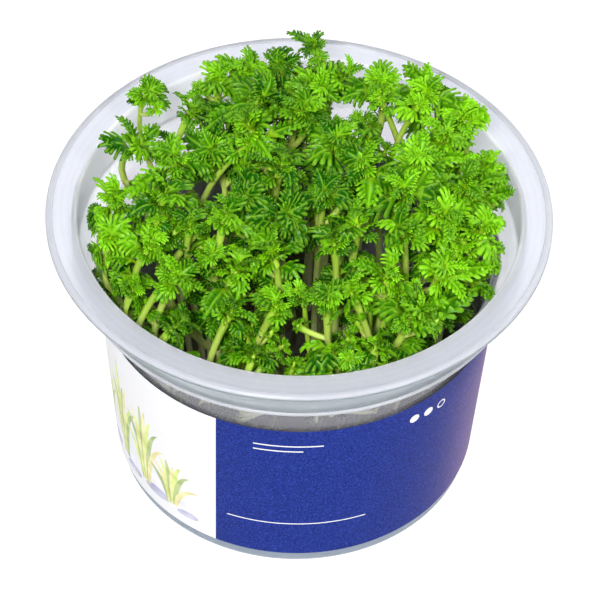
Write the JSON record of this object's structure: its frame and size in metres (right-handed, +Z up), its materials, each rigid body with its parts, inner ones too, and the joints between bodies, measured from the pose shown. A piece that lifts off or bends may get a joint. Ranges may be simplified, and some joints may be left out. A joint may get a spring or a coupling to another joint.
{
  "type": "potted aquarium plant",
  "caption": "Flanged translucent round cup with a wraparound label, holding a dense domed tuft of tissue-cultured American featherfoil on gel.",
  "frame": {"origin": "middle of the cup's flat underside, on the cup's axis", "axes": "+Z up along the cup's axis, -Y towards the front, where the label's picture panel meets its dark panel, +X to the right"},
  "size_m": [0.105, 0.105, 0.0864],
  "materials": {
    "cup": "frosted translucent polypropylene",
    "label": "printed paper sleeve, dark blue with a white panel",
    "gel": "set nutrient gel, moist and cloudy",
    "foliage": "glossy living leaves and pale stems"
  },
  "bodies": {
    "root": {"cup": "cup", "label": "label", "growing_gel": "gel", "shoot_01": "foliage", "shoot_02": "foliage", "shoot_03": "foliage", "shoot_04": "foliage", "shoot_05": "foliage", "shoot_06": "foliage", "shoot_07": "foliage", "shoot_08": "foliage", "shoot_09": "foliage", "shoot_10": "foliage", "shoot_11": "foliage", "shoot_12": "foliage", "shoot_13": "foliage", "shoot_14": "foliage", "shoot_15": "foliage", "shoot_16": "foliage", "shoot_17": "foliage", "shoot_18": "foliage", "shoot_19": "foliage", "shoot_20": "foliage", "shoot_21": "foliage", "shoot_22": "foliage", "shoot_23": "foliage", "shoot_24": "foliage", "shoot_25": "foliage", "shoot_26": "foliage", "shoot_27": "foliage", "shoot_28": "foliage", "shoot_29": "foliage", "shoot_30": "foliage", "shoot_31": "foliage", "shoot_32": "foliage", "shoot_33": "foliage", "shoot_34": "foliage", "shoot_35": "foliage", "shoot_36": "foliage", "shoot_37": "foliage", "shoot_38": "foliage", "shoot_39": "foliage", "shoot_40": "foliage", "shoot_41": "foliage", "shoot_42": "foliage", "shoot_43": "foliage", "shoot_44": "foliage", "shoot_45": "foliage", "shoot_46": "foliage", "shoot_47": "foliage", "shoot_48": "foliage", "shoot_49": "foliage", "shoot_50": "foliage", "shoot_51": "foliage", "shoot_52": "foliage", "shoot_53": "foliage", "shoot_54": "foliage", "shoot_55": "foliage"}
  },
  "joints": []
}
